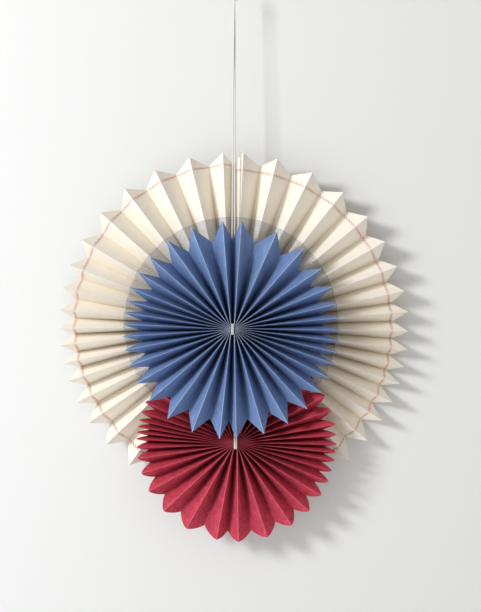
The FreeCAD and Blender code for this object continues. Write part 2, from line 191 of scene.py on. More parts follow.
class Formula:
    """A number in a node tree, written like ordinary arithmetic."""

    def __init__(self, tree, socket):
        self.tree, self.socket = tree, socket

    def make(self, operation, *terms):
        node = self.tree.nodes.new("ShaderNodeMath")
        node.operation = operation
        for slot, term in zip(node.inputs, (self,) + terms):
            feed(self.tree, slot, term)
        return Formula(self.tree, node.outputs[0])

    def __add__(self, other):
        return self.make("ADD", other)

    def __sub__(self, other):
        return self.make("SUBTRACT", other)

    def __rsub__(self, other):
        return (self * -1.0) + other

    def __mul__(self, other):
        return self.make("MULTIPLY", other)

    def __truediv__(self, other):
        return self.make("DIVIDE", other)

    def __mod__(self, other):
        return self.make("MODULO", other)

    def sine(self):
        return self.make("RADIANS").make("SINE")

    def cosine(self):
        return self.make("RADIANS").make("COSINE")

    def root(self):
        return self.make("SQRT")

    def down(self):
        return self.make("FLOOR")

    def up(self):
        return self.make("CEIL")

    def size(self):
        return self.make("ABSOLUTE")

    def below(self, other):
        return self.make("LESS_THAN", other)

    def above(self, other):
        return self.make("GREATER_THAN", other)

    def least(self, other):
        return self.make("MAXIMUM", other)

    def most(self, other):
        return self.make("MINIMUM", other)


def feed(tree, slot, value):
    """Link a formula or socket to an input, or write a plain value into it."""
    if isinstance(value, Formula):
        tree.links.new(value.socket, slot)
    elif isinstance(value, bpy.types.NodeSocket):
        tree.links.new(value, slot)
    else:
        slot.default_value = value


def vector_of(tree, x, y, z=0.0):
    return add_node(tree, "ShaderNodeCombineXYZ", X=x, Y=y, Z=z).outputs[0]


def split(tree, vector):
    node = add_node(tree, "ShaderNodeSeparateXYZ", Vector=vector)
    return [Formula(tree, socket) for socket in node.outputs]


def blend_values(chosen, other, share):
    """other where share is 0 and chosen where it is 1."""
    return (chosen - other) * share + other


def add_node(tree, kind, settings=(), **inputs):
    """A node with its settings and inputs; an input is named with underscores for spaces."""
    node = tree.nodes.new(kind)
    for name, value in dict(settings).items():
        setattr(node, name, value)
    for name, value in inputs.items():
        feed(tree, node.inputs[name.replace("_", " ")], value)
    return node


def sockets(kind, *labels):
    """Inputs of one kind for a tree, each with its label."""
    return [(label, "NodeSocket" + kind) for label in labels]


def new_tree(name, inputs):
    """An empty geometry tree with its named inputs, and those inputs as formulas or sockets."""
    tree = bpy.data.node_groups.new(name, "GeometryNodeTree")
    for label, kind in inputs:
        tree.interface.new_socket(label, in_out="INPUT", socket_type=kind)
    tree.interface.new_socket("Geometry", in_out="OUTPUT", socket_type="NodeSocketGeometry")
    entry = tree.nodes.new("NodeGroupInput")
    number_kinds = ("NodeSocketFloat", "NodeSocketInt")
    given = {label: Formula(tree, entry.outputs[label]) if kind in number_kinds else entry.outputs[label]
             for label, kind in inputs}
    return tree, given


def finish_tree(tree, geometry, material):
    """Realize Instances, Set Material and the output."""
    real = add_node(tree, "GeometryNodeRealizeInstances", Geometry=geometry)
    coated = add_node(tree, "GeometryNodeSetMaterial", Geometry=real.outputs[0], Material=material)
    out = tree.nodes.new("NodeGroupOutput")
    tree.links.new(coated.outputs[0], out.inputs["Geometry"])


def mesh_from_tree(name, tree, values):
    """Run a geometry tree and keep its result as a plain mesh object."""
    holder = bpy.data.objects.new(name + "_holder", bpy.data.meshes.new(name + "_holder"))
    bpy.context.scene.collection.objects.link(holder)
    modifier = holder.modifiers.new(name, "NODES")
    modifier.node_group = tree
    for item in tree.interface.items_tree:
        if item.in_out == "INPUT" and item.name in values:
            modifier[item.identifier] = values[item.name]
    graph = bpy.context.evaluated_depsgraph_get()
    mesh = bpy.data.meshes.new_from_object(holder.evaluated_get(graph), depsgraph=graph)
    if not mesh.vertices:
        raise RuntimeError(name + " came out empty")
    holder.modifiers.remove(modifier)
    bpy.data.objects.remove(holder)
    mesh.name = name
    piece = bpy.data.objects.new(name, mesh)
    bpy.context.scene.collection.objects.link(piece)
    return piece


def fan_label(side, field):
    """The tree's name for one size of one half."""
    return f"{side} {field.replace('_', ' ').title()}"


SHEET_INPUTS = (
    sockets("Int", "Folds Per Half", "Seed") + sockets("Vector", "Centre")
    + sockets("Float", "Pleat Width", "Edge Bulge", "Hub Half Width", "Hub Half Height",
              "Stack Half Height", "Waist", "Lean", "Unevenness")
    + sockets("Float", *[fan_label(side, field) for side in SIDES for field in FAN_FIELDS]))


class PleatedSheet:
    """The rule that says where any point of a tied and fanned strip of paper lies."""

    def __init__(self, tree, given, side):
        self.tree, self.given, self.side = tree, given, side
        self.sign = 1.0 if side == "Right" else -1.0
        self.folds = given["Folds Per Half"]
        line = add_node(tree, "GeometryNodeMeshLine", Count=self.folds * 2.0 + 3.0)
        self.fold_line = line.outputs[0]
        self.place = Formula(tree, add_node(tree, "GeometryNodeInputIndex").outputs[0])
        fold = self.place - 1.0
        is_ridge = (fold % 2.0).size()
        bearing = self.bearing(fold)
        hub_angle = self.hub_bearing(fold)
        swayed = bearing + self.chance(1) * given["Unevenness"] * SWAY
        self.rules = {
            "across": swayed.sine(), "up": swayed.cosine(), "spread": self.spread(fold, bearing),
            "radius": self.rim_radius(bearing, is_ridge) - self.chance(2).size() * given["Unevenness"],
            "opposite radius": self.rim_radius(bearing, 1.0 - is_ridge),
            "hub x": hub_angle.sine() * given["Hub Half Width"],
            "hub z": hub_angle.cosine() * given["Hub Half Height"],
            "layer z": (1.0 - fold / self.folds) * given["Stack Half Height"],
        }

    def chance(self, number):
        """A number from -1 to 1 for each fold, from a fixed seed; 0 at the seams, which both halves share."""
        draw = number + (5 if self.side == "Right" else 0)
        pick = add_node(self.tree, "FunctionNodeRandomValue", {"data_type": "FLOAT"}, ID=self.place,
                        Seed=self.given["Seed"] * 10.0 + draw)
        pick.inputs[2].default_value, pick.inputs[3].default_value = -1.0, 1.0
        fold = self.place - 1.0
        return Formula(self.tree, pick.outputs[1]) * fold.above(0.5) * fold.below(self.folds * 2.0 - 0.5)

    def look_up(self, rule, fold):
        """A rule's value at one fold; the line of folds starts one fold before the top seam."""
        sample = add_node(self.tree, "GeometryNodeSampleIndex", {"data_type": "FLOAT", "domain": "POINT"},
                          Geometry=self.fold_line, Value=self.rules[rule], Index=fold + 1.0)
        return Formula(self.tree, sample.outputs[0])

    def fan(self, field, side=None):
        """One size of this half, or of the other where it is named."""
        return self.given[fan_label(side or self.side, field)]

    def ridge_bearing(self, number):
        """Bearing of a front fold: spread evenly, then bunched at the side and let down."""
        share = number * 2.0 / (self.folds - 1.0) - 1.0
        square = share * share
        reach = (self.fan("last") - self.fan("first")) * 0.5
        even = (self.fan("first") + self.fan("last")) * 0.5 + reach * share
        bunching = (self.fan("crowding") + self.fan("tightening") * square) * (square * share - share) * reach
        return even + bunching + (self.fan("droop") + self.fan("shoulder") * square) * (1.0 - square)

    def seam_bearing(self, end):
        """Bearing of the seam, midway between the two halves' end folds, as this half counts it."""
        between = (self.fan(end, "Right") - self.fan(end, "Left")) * (0.5 * self.sign)
        return between if end == "first" else between + HALF_TURN

    def bearing(self, fold):
        """Odd folds are front folds; even ones lie midway between; the first and last are the seams."""
        place = (fold - 1.0) * 0.5
        inner = (self.ridge_bearing(place.down()) + self.ridge_bearing(place.up())) * 0.5
        with_top = blend_values(self.seam_bearing("first"), inner, fold.below(0.5))
        return blend_values(self.seam_bearing("last"), with_top, fold.above(self.folds * 2.0 - 0.5))

    def hub_bearing(self, fold):
        """The pleats lie evenly round the hub, clear of the seams."""
        share = (fold - 1.0) / ((self.folds - 1.0) * 2.0)
        inner = share * (HALF_TURN - SEAM_WINDOW) + SEAM_WINDOW / 2.0
        with_top = inner * fold.above(0.5)
        return blend_values(HALF_TURN, with_top, fold.above(self.folds * 2.0 - 0.5))

    def rim_radius(self, bearing, is_ridge):
        """Radius of the cut edge, eased from one half's value to the other's at the seams."""
        window = math.sin(math.radians(SEAM_WINDOW / 2.0))
        lean_side = (bearing.sine() * (self.sign / window)).least(-1.0).most(1.0)
        right_share = lean_side * 0.5 + 0.5
        height = bearing.cosine()
        radii = []
        for side in SIDES:
            tip = self.fan("tip_radius", side) + self.fan("tip_lift", side) * height
            notch = self.fan("notch_radius", side) + self.fan("notch_lift", side) * height
            radii.append(blend_values(tip, notch, is_ridge))
        return blend_values(radii[0], radii[1], right_share)

    def spread(self, fold, bearing):
        """Degrees from a fold to its neighbours; a seam has a neighbour on one side only."""
        ends = []
        for shift in (1.0, -1.0):
            neighbour = add_node(self.tree, "GeometryNodeFieldAtIndex", {"data_type": "FLOAT"},
                                 Value=bearing, Index=self.place + shift)
            ends.append(Formula(self.tree, neighbour.outputs[0]))
        at_seam = fold.below(0.5) + fold.above(self.folds * 2.0 - 0.5)
        return (ends[0] - ends[1]).size() * 0.5 * (at_seam + 1.0)

    def half_depth(self, fold, out):
        """The wider the pleats open, the flatter they get."""
        hub = self.given["Hub Half Width"] * 0.5
        reach = (self.look_up("opposite radius", fold) - hub) * out + hub
        width = self.given["Pleat Width"]
        chord = (reach * self.look_up("spread", fold).sine()).most(width)
        depth = (width * width - chord * chord).root().least(width * LEAST_PLEAT_DEPTH)
        return depth * 0.5

    def fold_point(self, fold, out, hub_share):
        """A point of one fold: through the pressed stack to the hub's edge, then straight to the rim."""
        hub_x, hub_z = self.look_up("hub x", fold), self.look_up("hub z", fold)
        layer_z, radius = self.look_up("layer z", fold), self.look_up("radius", fold)
        rest = 1.0 - hub_share
        bend = hub_share * rest * 2.0
        inner_x = hub_x * (bend * HUB_BEND + hub_share * hub_share)
        inner_z = layer_z * (rest * rest + bend) + hub_z * (hub_share * hub_share)
        x = inner_x + (self.look_up("across", fold) * radius - hub_x) * out
        z = inner_z + (self.look_up("up", fold) * radius - hub_z) * out
        waist = blend_values(1.0, self.given["Waist"], hub_share)
        y = (self.half_depth(fold, out) - FOLD_INSET) * waist * (1.0 - fold % 2.0 * 2.0)
        return x, y, z, radius

    def point(self, column, out, hub_share):
        """A point of the paper: column counts pleats from the top seam, out runs from hub to rim."""
        fold = column.down().most(self.folds * 2.0 - 1.0)
        across = column - fold
        here = self.fold_point(fold, out, hub_share)
        there = self.fold_point(fold + 1.0, out, hub_share)
        x, y, z, radius = [blend_values(b, a, across) for a, b in zip(here, there)]
        bulge = across * (1.0 - across) * 4.0 * out * out * self.given["Edge Bulge"]
        distance = (x * x + z * z).root().least(LEAST_DISTANCE)
        stretch = bulge / distance + 1.0
        return x * stretch * self.sign, y, z * stretch, radius

    def point_at(self, column, radius, lift):
        """A point of the paper at a given distance from the hub, which grows by lift towards the top."""
        fold = column.down().most(self.folds * 2.0 - 1.0)
        across = column - fold
        hub = self.given["Hub Half Width"]
        ends = []
        for number in (fold, fold + 1.0):
            distance = radius + lift * self.look_up("up", number)
            out = (distance - hub) / (self.look_up("radius", number) - hub)
            ends.append(self.fold_point(number, out.most(NEAR_RIM), 1.0)[:3])
        x, y, z = [blend_values(b, a, across) for a, b in zip(*ends)]
        return x * self.sign, y, z

    def placed(self, x, y, z):
        """Lean about the hub and carry to the hub's place."""
        lean = self.given["Lean"]
        leaning = vector_of(self.tree, x, y * lean.cosine() - z * lean.sine(),
                            y * lean.sine() + z * lean.cosine())
        moved = add_node(self.tree, "ShaderNodeVectorMath", {"operation": "ADD"})
        feed(self.tree, moved.inputs[0], leaning)
        feed(self.tree, moved.inputs[1], self.given["Centre"])
        return moved.outputs[0]


def half_sheet(tree, given, side):
    """One half of the strip, from the middle of the hub to its rim, with its paper coordinates."""
    sheet = PleatedSheet(tree, given, side)
    across_steps, out_steps, hub_steps = given["Steps Across"], given["Steps Out"], given["Hub Steps"]
    columns = given["Folds Per Half"] * 2.0 * across_steps
    rows = out_steps + hub_steps
    grid = add_node(tree, "GeometryNodeMeshGrid", Size_X=1.0, Size_Y=1.0,
                    Vertices_X=rows + 1.0, Vertices_Y=columns + 1.0)
    x, y, _ = split(tree, add_node(tree, "GeometryNodeInputPosition").outputs[0])
    row = ((x + 0.5) * rows).make("ROUND")
    step = ((y + 0.5) * columns).make("ROUND")
    pleat = (step / across_steps + WHOLE).down()
    share = (step - pleat * across_steps) / across_steps
    column = pleat + share * share * (3.0 - share * 2.0)
    out = (row - hub_steps).least(0.0) / out_steps
    hub_share = (row / hub_steps).most(1.0)
    px, py, pz, radius = sheet.point(column, out, hub_share)
    hub = given["Hub Half Width"]
    along = hub * hub_share + (radius - hub) * out
    paper_place = vector_of(tree, column * given["Pleat Width"], along * sheet.sign)
    marked = add_node(tree, "GeometryNodeStoreNamedAttribute", {"data_type": "FLOAT2", "domain": "CORNER"},
                      Geometry=grid.outputs[0], Name="UVMap", Value=paper_place)
    shaped = add_node(tree, "GeometryNodeSetPosition", Geometry=marked.outputs[0],
                      Position=sheet.placed(px, py, pz))
    if side == "Left":
        return shaped.outputs[0]
    return add_node(tree, "GeometryNodeFlipFaces", Mesh=shaped.outputs[0]).outputs[0]


def pleated_tree():
    """The whole pleated disc: both halves, joined along the hub and the two seams."""
    own = sockets("Int", "Steps Across", "Steps Out", "Hub Steps") + sockets("Material", "Paper")
    tree, given = new_tree("Pleated Rosette", SHEET_INPUTS + own)
    joined = add_node(tree, "GeometryNodeJoinGeometry")
    for side in SIDES:
        tree.links.new(half_sheet(tree, given, side), joined.inputs[0])
    welded = add_node(tree, "GeometryNodeMergeByDistance", Geometry=joined.outputs[0],
                      Distance=WELD_DISTANCE)
    finish_tree(tree, welded.outputs[0], given["Paper"])
    return tree


def sheet_values(name, sizes):
    """The tree's inputs from one rosette's properties."""
    values = {
        "Folds Per Half": sizes.folds_per_half, "Pleat Width": sizes.pleat_width,
        "Edge Bulge": sizes.edge_bulge, "Hub Half Width": sizes.hub_half_width,
        "Hub Half Height": sizes.hub_half_height, "Lean": sizes.lean,
        "Stack Half Height": sizes.hub_half_height * STACK_SHARE, "Waist": WAIST,
        "Centre": CENTRES[name], "Seed": len(name),
        "Unevenness": bpy.context.scene.rosette_set.unevenness,
    }
    for side, fan in zip(SIDES, (sizes.right, sizes.left)):
        for field in FAN_FIELDS:
            values[fan_label(side, field)] = getattr(fan, field)
    return values


def give_thickness(piece, thickness):
    """A sheet becomes a closed wall, half its thickness to each side, with its second material behind."""
    solidify = piece.modifiers.new("Paper Thickness", "SOLIDIFY")
    solidify.thickness = thickness
    solidify.offset = 0.0
    solidify.material_offset = len(piece.data.materials) - 1
    graph = bpy.context.evaluated_depsgraph_get()
    mesh = bpy.data.meshes.new_from_object(piece.evaluated_get(graph), depsgraph=graph)
    piece.modifiers.remove(solidify)
    piece.data = mesh


def make_rosette(name, front, back):
    """Build one rosette and let it stand for its solid."""
    settings = bpy.context.scene.rosette_set
    tree = bpy.data.node_groups.get("Pleated Rosette") or pleated_tree()
    values = sheet_values(name, getattr(settings, name))
    values.update({"Steps Across": settings.steps_across, "Steps Out": settings.steps_out,
                   "Hub Steps": HUB_STEPS, "Paper": front})
    piece = mesh_from_tree(name + "_paper", tree, values)
    if back:
        piece.data.materials.append(back)
    give_thickness(piece, PAPER_THICKNESS)
    shade_folded(piece)
    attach(piece, "root")
    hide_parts(name + "_rosette")
    name + "_paper"


def shade_folded(piece):
    """Smooth along the pleats, sharp at the folds and the cut edges."""
    piece.data.shade_smooth()
    piece.data.set_sharp_from_angle(angle=math.radians(SOFT_ANGLE))


# Thread and string

PLIES = 3
TWIST = 2.6  # length of one full turn of the plies, in diameters
GROOVE = 0.2  # depth between the plies, of the radius
THREAD_SIDES = 18
STRING_STEP = 0.5 * MM  # along a string from one ring of its mesh to the next
TIE_STEP = 0.35 * MM


def twisted_tree():
    """Twisted thread along a line: a lobed section that turns as it goes."""
    inputs = (sockets("Object", "Line") + sockets("Float", "Diameter", "Twist Length", "Groove", "Step")
              + sockets("Int", "Plies", "Sides") + sockets("Material", "Thread"))
    tree, given = new_tree("Twisted Thread", inputs)
    line = add_node(tree, "GeometryNodeObjectInfo", {"transform_space": "RELATIVE"}, Object=given["Line"])
    even = add_node(tree, "GeometryNodeResampleCurve", {"mode": "LENGTH"}, Curve=line.outputs["Geometry"],
                    Length=given["Step"])
    along = Formula(tree, add_node(tree, "GeometryNodeSplineParameter").outputs["Length"])
    turned = add_node(tree, "GeometryNodeSetCurveTilt", Curve=even.outputs[0],
                      Tilt=along / given["Twist Length"] * math.tau)
    ring = add_node(tree, "GeometryNodeCurvePrimitiveCircle", Resolution=given["Sides"],
                    Radius=given["Diameter"] * 0.5)
    index = Formula(tree, add_node(tree, "GeometryNodeInputIndex").outputs[0])
    lobe = (index / given["Sides"] * 360.0 * given["Plies"]).cosine() * 0.5 - 0.5
    position = add_node(tree, "GeometryNodeInputPosition")
    scaled = add_node(tree, "ShaderNodeVectorMath", {"operation": "SCALE"}, Vector=position.outputs[0],
                      Scale=lobe * given["Groove"] + 1.0)
    section = add_node(tree, "GeometryNodeSetPosition", Geometry=ring.outputs[0],
                       Position=scaled.outputs[0])
    tube = add_node(tree, "GeometryNodeCurveToMesh", Curve=turned.outputs[0],
                    Profile_Curve=section.outputs[0], Fill_Caps=True)
    smooth = add_node(tree, "GeometryNodeSetShadeSmooth", Geometry=tube.outputs[0], Shade_Smooth=True)
    finish_tree(tree, smooth.outputs[0], given["Thread"])
    return tree


def smooth_line(name, points, closed=False):
    """A smooth line through the air with these control points."""
    curve = bpy.data.curves.new(name, "CURVE")
    curve.dimensions = "3D"
    spline = curve.splines.new("NURBS")
    spline.points.add(len(points) - 1)
    for control, point in zip(spline.points, points):
        control.co = (*point, 1.0)
    spline.order_u = 3
    spline.use_cyclic_u = closed
    spline.use_endpoint_u = not closed
    spline.resolution_u = 24
    line = bpy.data.objects.new(name, curve)
    bpy.context.scene.collection.objects.link(line)
    return line


def points_of(line):
    """Points that the smooth line passes through."""
    graph = bpy.context.evaluated_depsgraph_get()
    mesh = bpy.data.meshes.new_from_object(line.evaluated_get(graph), depsgraph=graph)
    points = [tuple(vertex.co) for vertex in mesh.vertices]
    bpy.data.meshes.remove(mesh)
    return points


def make_thread(name, line, diameter, material, step=STRING_STEP):
    """A twisted thread along a line."""
    tree = bpy.data.node_groups.get("Twisted Thread") or twisted_tree()
    piece = mesh_from_tree(name, tree, {
        "Line": line, "Diameter": diameter, "Twist Length": diameter * TWIST, "Plies": PLIES,
        "Groove": GROOVE, "Step": step, "Sides": THREAD_SIDES, "Thread": material})
    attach(piece, "root")
    return piece


def join_pieces(name, pieces):
    """One object of several."""
    with bpy.context.temp_override(active_object=pieces[0], selected_editable_objects=pieces):
        bpy.ops.object.join()
    pieces[0].name = pieces[0].data.name = name
    return pieces[0]


def flat_hub_height(sizes):
    """Half height of the pressed stack at its seams."""
    return sizes.hub_half_height * math.cos(math.radians(SEAM_WINDOW / 2.0)) + PAPER_THICKNESS / 2.0


TIE_CORNER_START = 1.6  # in thread diameters from the corner of the stack, where a turn begins to bend
TIE_CORNER_TURN = 0.48  # and where it bends most


def tie_line(name, rosette, offset_x, front_y, thread):
    """One close turn round the stack of a hub, leaning with it."""
    sizes = getattr(bpy.context.scene.rosette_set, rosette)
    clear = thread / 2.0 + SEAT_GAP
    back_y = sizes.pleat_width / 2.0 + clear
    top = flat_hub_height(sizes) + clear
    start, turn = thread * TIE_CORNER_START, thread * TIE_CORNER_TURN
    upper = [(front_y, top - start), (front_y, top - turn), (front_y + turn, top), (front_y + start, top),
             (back_y - start, top), (back_y - turn, top), (back_y, top - turn), (back_y, top - start)]
    outline = upper + [(y, -z) for y, z in reversed(upper)]
    lean = math.radians(sizes.lean)
    points = [CENTRES[rosette] + Vector((offset_x, y * math.cos(lean) - z * math.sin(lean),
                                         y * math.sin(lean) + z * math.cos(lean))) for y, z in outline]
    return smooth_line(name, points, closed=True)


def snug_front(rosette, thread):
    """Where a thread lies against the front of a hub."""
    sizes = getattr(bpy.context.scene.rosette_set, rosette)
    return -sizes.pleat_width / 2.0 - thread / 2.0 - SEAT_GAP


def make_tie(rosette, turns, thread, front_y, material):
    """The turns of thread that hold a hub, side by side."""
    pitch = thread + SEAT_GAP
    rings = []
    for turn in range(turns):
        offset = (turn - (turns - 1) / 2.0) * pitch
        line = tie_line(f"{rosette}_tie_line_{turn}", rosette, offset, front_y, thread)
        rings.append(make_thread(f"{rosette}_tie_turn_{turn}", line, thread, material, step=TIE_STEP))
        bpy.data.objects.remove(line)
    tie = join_pieces(rosette + "_thread", rings) if turns > 1 else rings[0]
    tie.name = rosette + "_thread"
    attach(tie, "root")
    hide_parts(rosette + "_tie")


STRING_PLANE_AT_BLUE = -8.885  # the string passes between the blue hub and the cream one

# Foot on the red tie, behind the blue hub, two points where the photo shows the strands side by side, head
STRAND_ROUTES = {
    "left": [(0.15, -13.5, -447.9), (-3.4, STRING_PLANE_AT_BLUE, -341.0), (-2.1, -6.2, -235.0),
             (-0.95, -1.6, -60.0), (0.0, -1.2, -12.0)],
    "right": [(1.85, -13.5, -447.9), (-0.2, STRING_PLANE_AT_BLUE, -341.0), (0.1, -6.2, -235.0),
              (0.75, -1.3, -60.0), (0.0, 1.2, -12.0)],
}
LOOP_ROUTE = [(0.85, 0.0, -8.6), (1.6, 0.0, -5.5), (2.35, 0.0, -2.7), (2.4, 0.0, -0.6), (1.25, 0.0, 0.8),
              (-1.25, 0.0, 0.8), (-2.4, 0.0, -0.6), (-2.35, 0.0, -2.7), (-1.6, 0.0, -5.5), (-0.85, 0.0, -8.6)]
KNOT_CENTRE_Z = -10.0
KNOT_COIL_RADIUS = 2.3
KNOT_TURNS = 2.6
KNOT_PITCH = 1.75
KNOT_START = -120.0  # bearing of the coil's lower end
KNOT_STEPS_PER_TURN = 10
TUCKED_SHARE = 0.35  # of the coil's radius, where its two ends are tucked in
TUCK_SLOPE = 6.0


def knot_points():
    """Turns wound round both strands, with the ends tucked in."""
    count = int(KNOT_TURNS * KNOT_STEPS_PER_TURN)
    height = KNOT_TURNS * KNOT_PITCH
    coil = []
    for step in range(count + 1):
        share = step / count
        angle = math.radians(KNOT_START) + share * KNOT_TURNS * math.tau
        tuck = min(1.0, TUCK_SLOPE * share + TUCKED_SHARE, TUCK_SLOPE * (1.0 - share) + TUCKED_SHARE)
        reach = KNOT_COIL_RADIUS * tuck
        coil.append(metres(reach * math.cos(angle), reach * math.sin(angle),
                           KNOT_CENTRE_Z - height / 2.0 + share * height))
    return coil


def make_string(name, points, stands_for, cotton):
    """One run of the string in place of its solid, and the points that it passes through."""
    line = smooth_line(name + "_line", points)
    path = points_of(line)
    piece = make_thread(name, line, STRING_DIAMETER, cotton)
    bpy.data.objects.remove(line)
    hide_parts(stands_for)
    return piece, path


# Shader groups and materials

def new_group(name, vectors, numbers, outputs):
    """An empty shader group with its named inputs, given as sockets or formulas, and its outputs."""
    tree = bpy.data.node_groups.new(name, "ShaderNodeTree")
    for label in vectors:
        tree.interface.new_socket(label, in_out="INPUT", socket_type="NodeSocketVector")
    for label, value in numbers.items():
        tree.interface.new_socket(label, in_out="INPUT", socket_type="NodeSocketFloat").default_value = value
    for label in outputs:
        tree.interface.new_socket(label, in_out="OUTPUT", socket_type="NodeSocketFloat")
    entry = tree.nodes.new("NodeGroupInput")
    given = {label: entry.outputs[label] for label in vectors}
    given.update({label: Formula(tree, entry.outputs[label]) for label in numbers})
    return tree, given, tree.nodes.new("NodeGroupOutput")


def noise(tree, vector, scale=1.0, detail=4.0, roughness=0.55):
    node = add_node(tree, "ShaderNodeTexNoise", Vector=vector, Scale=scale, Detail=detail,
                    Roughness=roughness)
    return Formula(tree, node.outputs["Fac"])


def within(value, low, high):
    """0 below low, 1 above high, straight between."""
    return ((value - low) * (1.0 / (high - low))).least(0.0).most(1.0)


HUB_HIGHLIGHT_SPREAD = 6.0  # how many times wider again the worn band of the folds is at the hub, widened as painted highlight
PRINT_SLANT_X, PRINT_SLANT_Z = -0.015, 0.035  # the printed disc sits a little left of the hub and above it
PRINT_EDGE = 0.4 * MM
DOT_SOLID, DOT_REACH = 0.3, 0.5  # from a dot's middle, in rows, its full ink and its edge


def fibre_group():
    """Fine fibres that run along the pleats, and slow cloudiness."""
    tree, given, out = new_group("Paper Fibres", ["Place"],
                                 {"Fibre Width": 1.0 * MM, "Fibre Length": 9.0 * MM}, ["Fibre", "Cloud"])
    u, v, _ = split(tree, given["Place"])
    width, length = given["Fibre Width"], given["Fibre Length"]
    fine = noise(tree, vector_of(tree, u / width, v / length), detail=5.0, roughness=0.7)
    coarse = noise(tree, vector_of(tree, u / (width * 3.0), v / (length * 2.0), 7.0), detail=3.0)
    feed(tree, out.inputs["Fibre"], within(fine * 0.65 + coarse * 0.35, 0.32, 0.68))
    cloud = noise(tree, vector_of(tree, u / (width * 30.0), v / (length * 2.5), 3.0), detail=2.0)
    feed(tree, out.inputs["Cloud"], within(cloud, 0.3, 0.7))
    return tree


def crease_group():
    """Where the paper is worn along its front and back folds, with a painted highlight on the front folds
    that widens at the hub, and painted shade towards the back folds.
    """
    tree, given, out = new_group("Crease Wear", ["Place"],
                                 {"Pleat Width": BLUE_PLEAT * MM, "Wear Width": 0.6 * MM},
                                 ["Front Crease", "Back Crease", "Valley", "Near Hub"])
    u, v, _ = split(tree, given["Place"])
    fold = u / given["Pleat Width"] % 2.0
    patches = within(noise(tree, vector_of(tree, u / (4.0 * MM), v / (9.0 * MM)), detail=3.0), 0.3, 0.62)
    # Painted highlight: near the hub the worn band on the front folds widens, where the crests catch the
    # light.
    near_hub = 1.0 - within(v.size(), 3.0 * MM, 30.0 * MM)
    width = given["Wear Width"] * (near_hub * near_hub * HUB_HIGHLIGHT_SPREAD + 1.0)
    from_back = fold.most(2.0 - fold)
    for label, distance in (("Front Crease", (fold - 1.0).size()), ("Back Crease", from_back)):
        reach = distance * given["Pleat Width"] / width
        feed(tree, out.inputs[label], (1.0 - reach).least(0.0).root() * (patches * 0.4 + 0.6))
    # Painted shade: darkest at the back folds near the hub, weaker towards the rim.
    towards_rim = within(v.size(), 25.0 * MM, 90.0 * MM)
    feed(tree, out.inputs["Valley"], (1.0 - from_back) * (1.0 - towards_rim * 0.7))
    feed(tree, out.inputs["Near Hub"], near_hub)
    return tree


def print_group():
    """A printed disc of fine dots in the middle of the paper."""
    tree, given, out = new_group("Printed Mesh", ["Place", "Position"], {
        "Hub X": 0.0, "Hub Z": 0.0, "Radius": 108.0 * MM, "Pitch": 1.6 * MM}, ["Dots", "Ground"])
    u, v, _ = split(tree, given["Place"])
    x, _, z = split(tree, given["Position"])
    distance = v.size()
    edge = given["Radius"] + (x - given["Hub X"]) * PRINT_SLANT_X + (z - given["Hub Z"]) * PRINT_SLANT_Z
    ground = within(edge - distance, 0.0, PRINT_EDGE)
    row = distance / given["Pitch"]
    across = ((u / given["Pitch"] * 0.5 + row.down() % 2.0 * 0.5) % 1.0 - 0.5) * 2.0
    along = row % 1.0 - 0.5
    dot = 1.0 - within((across * across + along * along).root(), DOT_SOLID, DOT_REACH)
    feed(tree, out.inputs["Dots"], dot * ground)
    feed(tree, out.inputs["Ground"], ground)
    return tree


def place_group(tree, name, builder, **inputs):
    """A shader group in a material, with this material's own values."""
    node = add_node(tree, "ShaderNodeGroup", {"node_tree": bpy.data.node_groups.get(name) or builder()})
    for label, value in inputs.items():
        feed(tree, node.inputs[label.replace("_", " ")], value)
    return [Formula(tree, socket) for socket in node.outputs]


def mix_colours(tree, share, base, other):
    """base where share is 0 and other where it is 1."""
    node = add_node(tree, "ShaderNodeMix", {"data_type": "RGBA"})
    feed(tree, node.inputs[0], share)
    for slot, colour in ((6, base), (7, other)):
        feed(tree, node.inputs[slot], (*colour, 1.0) if isinstance(colour, (tuple, list)) else colour)
    return node.outputs[2]


def new_material(name, roughness, **settings):
    material = bpy.data.materials.new(name)
    material.use_nodes = True
    shader = material.node_tree.nodes["Principled BSDF"]
    shader.inputs["Roughness"].default_value = roughness
    for label, value in settings.items():
        shader.inputs[label.replace("_", " ")].default_value = value
    return material, material.node_tree, shader


def raise_surface(tree, shader, height, distance):
    """Relief too fine for the mesh."""
    bump = add_node(tree, "ShaderNodeBump", Height=height, Distance=distance, Strength=1.0)
    tree.links.new(bump.outputs[0], shader.inputs["Normal"])


def shaded(colour, share):
    return tuple(channel * share for channel in colour)


# Fibre width and length, wear width and relief in millimetres; the other numbers are shares. Wear and wear
# width also set a painted highlight on the front folds, the hub colour is a painted highlight near the hub,
# and the dark colour with its depth share is painted shade towards the back folds.
PAPER_LOOKS = {
    "cream": {
        "fibre": (0.9, 9.0), "streak": 0.05, "cloud": 0.03, "wear": 0.25, "wear_width": 0.6, "relief": 0.03,
        "valley": screen_colour(249, 234, 206), "depth": 0.6, "hub_painted_highlight": screen_colour(255, 251, 242),
    },
    "red": {
        "fibre": (1.3, 3.5), "streak": 0.6, "cloud": 0.25, "wear": 0.7, "wear_width": 0.8, "relief": 0.25,
        "valley": screen_colour(88, 18, 30), "depth": 1.0, "hub_painted_highlight": screen_colour(255, 140, 158),
    },
    "blue": {
        "fibre": (1.0, 9.0), "streak": 0.4, "cloud": 0.12, "wear": 1.0, "wear_width": 0.6, "relief": 0.10,
        "valley": screen_colour(38, 52, 84), "depth": 1.0, "hub_painted_highlight": screen_colour(236, 243, 255),
    },
}
BACK_WEAR = 0.3  # wear of the back folds, of that of the front ones
CLOUD_SHADE = 0.75
PRINT_GROUND, GROUND_COVER = screen_colour(240, 240, 244), 0.6


